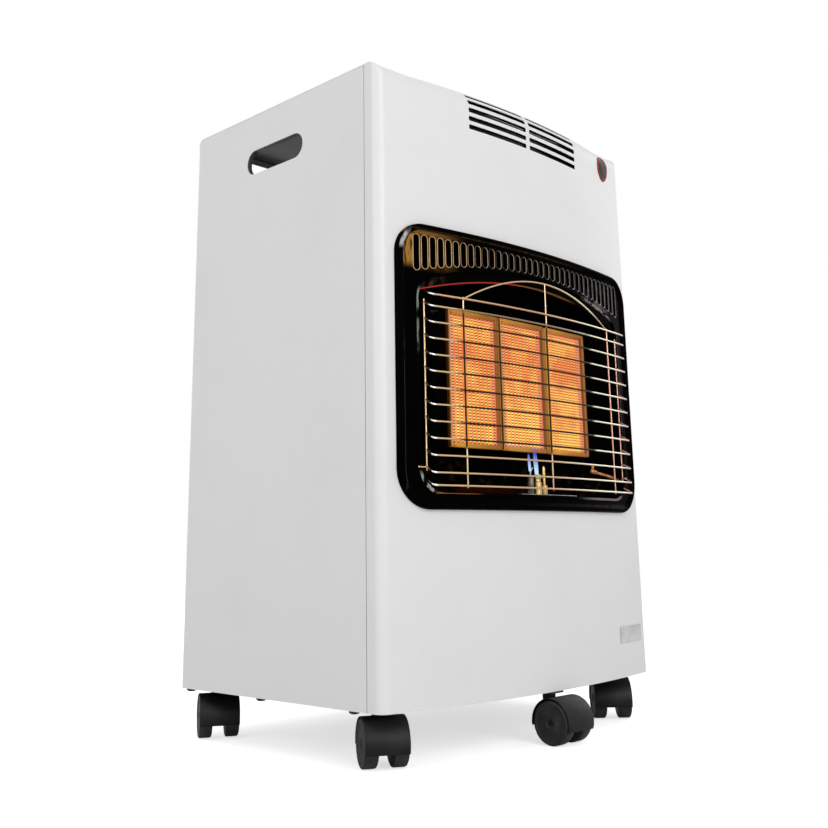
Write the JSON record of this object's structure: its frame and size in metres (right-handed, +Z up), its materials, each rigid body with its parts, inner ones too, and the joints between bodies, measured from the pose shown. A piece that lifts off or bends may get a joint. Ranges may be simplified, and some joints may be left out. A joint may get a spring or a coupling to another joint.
{
  "type": "gas heater",
  "caption": "White cabinet gas heater on swivel castors, with glowing ceramic plaque burners in a glossy black bowed bezel behind a wire guard, and room for a gas cylinder behind.",
  "frame": {"origin": "centre of the bounding box in plan, on the floor under the wheels", "axes": "+Z up; the bowed front with the burners faces -Y; +X to the right seen from the front"},
  "size_m": [0.4602, 0.3837, 0.7436],
  "materials": {
    "white_paint": "smooth white powder coat, satin gloss",
    "black_enamel": "black vitreous enamel, high gloss",
    "black_steel": "black heat-resistant paint, satin",
    "plated_wire": "bright plated wire, warm tint",
    "zinc_steel": "zinc-plated sheet, satin",
    "burner_steel": "bare pressed steel, dull",
    "glowing_ceramic": "porous ceramic, glowing orange while lit",
    "heated_frame": "heat-tinted steel, golden brown",
    "brass": "turned brass, bright",
    "pipe": "drawn aluminium tube, satin",
    "insulator": "white glazed insulator, gloss",
    "black_plastic": "black plastic, fine texture",
    "red_plastic": "red plastic, gloss",
    "castor_plastic": "black nylon, satin",
    "castor_steel": "black oxide steel, satin",
    "wheel_plastic": "dark grey nylon, satin"
  },
  "bodies": {
    "cabinet": {"side_panel_left": "white_paint", "side_panel_right": "white_paint", "front_panel": "white_paint", "top_panel": "white_paint", "base_tray": "white_paint", "name_plate": "white_paint", "bezel": "black_enamel", "burner_surround": "black_steel", "wire_guard": "plated_wire", "heat_shield": "zinc_steel", "burner_bracket": "zinc_steel", "pilot_bracket": "zinc_steel", "gas_valve": "zinc_steel", "burner_body_left": "burner_steel", "burner_body_centre": "burner_steel", "burner_body_right": "burner_steel", "ceramic_plaque_left": "glowing_ceramic", "ceramic_plaque_centre": "glowing_ceramic", "ceramic_plaque_right": "glowing_ceramic", "plaque_frame_left": "heated_frame", "plaque_frame_centre": "heated_frame", "plaque_frame_right": "heated_frame", "injector_left": "brass", "injector_centre": "brass", "injector_right": "brass", "inlet_nozzle": "brass", "pilot_burner": "brass", "thermocouple": "brass", "feed_pipe_left": "pipe", "feed_pipe_centre": "pipe", "feed_pipe_right": "pipe", "pilot_pipe": "pipe", "spark_electrode": "insulator", "control_plate": "black_plastic", "piezo_igniter": "black_plastic", "castor_front_left_stem": "castor_steel", "castor_front_centre_stem": "castor_steel", "castor_front_right_stem": "castor_steel", "castor_rear_left_stem": "castor_steel", "castor_rear_right_stem": "castor_steel"},
    "control_press": {"spindle_collar": "zinc_steel"},
    "control_turn": {"control_knob": "black_plastic", "valve_spindle": "zinc_steel"},
    "igniter_button": {"piezo_button": "red_plastic"},
    "rear_cover": {"rear_cover": "white_paint"},
    "castor_front_left_swivel": {"castor_front_left_hood": "castor_plastic"},
    "castor_front_left_wheel_left": {"castor_front_left_wheel_left": "wheel_plastic"},
    "castor_front_left_wheel_right": {"castor_front_left_wheel_right": "wheel_plastic"},
    "castor_front_centre_swivel": {"castor_front_centre_hood": "castor_plastic"},
    "castor_front_centre_wheel_left": {"castor_front_centre_wheel_left": "wheel_plastic"},
    "castor_front_centre_wheel_right": {"castor_front_centre_wheel_right": "wheel_plastic"},
    "castor_front_right_swivel": {"castor_front_right_hood": "castor_plastic"},
    "castor_front_right_wheel_left": {"castor_front_right_wheel_left": "wheel_plastic"},
    "castor_front_right_wheel_right": {"castor_front_right_wheel_right": "wheel_plastic"},
    "castor_rear_left_swivel": {"castor_rear_left_hood": "castor_plastic"},
    "castor_rear_left_wheel_left": {"castor_rear_left_wheel_left": "wheel_plastic"},
    "castor_rear_left_wheel_right": {"castor_rear_left_wheel_right": "wheel_plastic"},
    "castor_rear_right_swivel": {"castor_rear_right_hood": "castor_plastic"},
    "castor_rear_right_wheel_left": {"castor_rear_right_wheel_left": "wheel_plastic"},
    "castor_rear_right_wheel_right": {"castor_rear_right_wheel_right": "wheel_plastic"}
  },
  "joints": [
    {"name": "control_push", "type": "slide", "parent": "cabinet", "child": "control_press", "axis": [0, 0, -1], "range_m": [0, 0.004], "stiffness_N_per_m": 2000, "springref_m": -0.002},
    {"name": "control_rotate", "type": "hinge", "parent": "control_press", "child": "control_turn", "pos_m": [0.12, 0.1169, 0.73], "axis": [0, 0, -1], "range_deg": [0, 240]},
    {"name": "igniter_push", "type": "slide", "parent": "cabinet", "child": "igniter_button", "axis": [0, 0, -1], "range_m": [0, 0.006], "stiffness_N_per_m": 1500, "springref_m": -0.002},
    {"name": "rear_cover_pull_off", "type": "slide", "parent": "cabinet", "child": "rear_cover", "axis": [0, 1, 0], "range_m": [0, 0.3]},
    {"name": "castor_front_left_turn", "type": "hinge", "parent": "cabinet", "child": "castor_front_left_swivel", "pos_m": [-0.19, -0.0971, 0.03], "axis": [0, 0, 1], "continuous": true},
    {"name": "castor_front_left_roll_left", "type": "hinge", "parent": "castor_front_left_swivel", "child": "castor_front_left_wheel_left", "pos_m": [-0.19876, -0.11167, 0.02242], "axis": [0.8572, -0.515, 0], "continuous": true},
    {"name": "castor_front_left_roll_right", "type": "hinge", "parent": "castor_front_left_swivel", "child": "castor_front_left_wheel_right", "pos_m": [-0.19876, -0.11167, 0.02242], "axis": [0.8572, -0.515, 0], "continuous": true},
    {"name": "castor_front_centre_turn", "type": "hinge", "parent": "cabinet", "child": "castor_front_centre_swivel", "pos_m": [0.012, -0.1501, 0.03], "axis": [0, 0, 1], "continuous": true},
    {"name": "castor_front_centre_roll_left", "type": "hinge", "parent": "castor_front_centre_swivel", "child": "castor_front_centre_wheel_left", "pos_m": [0.012, -0.1671, 0.02242], "axis": [1, 0, 0], "continuous": true},
    {"name": "castor_front_centre_roll_right", "type": "hinge", "parent": "castor_front_centre_swivel", "child": "castor_front_centre_wheel_right", "pos_m": [0.012, -0.1671, 0.02242], "axis": [1, 0, 0], "continuous": true},
    {"name": "castor_front_right_turn", "type": "hinge", "parent": "cabinet", "child": "castor_front_right_swivel", "pos_m": [0.2, -0.0941, 0.03], "axis": [0, 0, 1], "continuous": true},
    {"name": "castor_front_right_roll_left", "type": "hinge", "parent": "castor_front_right_swivel", "child": "castor_front_right_wheel_left", "pos_m": [0.18798, -0.10612, 0.02242], "axis": [0.7071, -0.7071, 0], "continuous": true},
    {"name": "castor_front_right_roll_right", "type": "hinge", "parent": "castor_front_right_swivel", "child": "castor_front_right_wheel_right", "pos_m": [0.18798, -0.10612, 0.02242], "axis": [0.7071, -0.7071, 0], "continuous": true},
    {"name": "castor_rear_left_turn", "type": "hinge", "parent": "cabinet", "child": "castor_rear_left_swivel", "pos_m": [-0.19, 0.1719, 0.03], "axis": [0, 0, 1], "continuous": true},
    {"name": "castor_rear_left_roll_left", "type": "hinge", "parent": "castor_rear_left_swivel", "child": "castor_rear_left_wheel_left", "pos_m": [-0.1985, 0.15718, 0.02242], "axis": [0.866, -0.5, 0], "continuous": true},
    {"name": "castor_rear_left_roll_right", "type": "hinge", "parent": "castor_rear_left_swivel", "child": "castor_rear_left_wheel_right", "pos_m": [-0.1985, 0.15718, 0.02242], "axis": [0.866, -0.5, 0], "continuous": true},
    {"name": "castor_rear_right_turn", "type": "hinge", "parent": "cabinet", "child": "castor_rear_right_swivel", "pos_m": [0.19, 0.1719, 0.03], "axis": [0, 0, 1], "continuous": true},
    {"name": "castor_rear_right_roll_left", "type": "hinge", "parent": "castor_rear_right_swivel", "child": "castor_rear_right_wheel_left", "pos_m": [0.1985, 0.15718, 0.02242], "axis": [0.866, 0.5, 0], "continuous": true},
    {"name": "castor_rear_right_roll_right", "type": "hinge", "parent": "castor_rear_right_swivel", "child": "castor_rear_right_wheel_right", "pos_m": [0.1985, 0.15718, 0.02242], "axis": [0.866, 0.5, 0], "continuous": true}
  ]
}
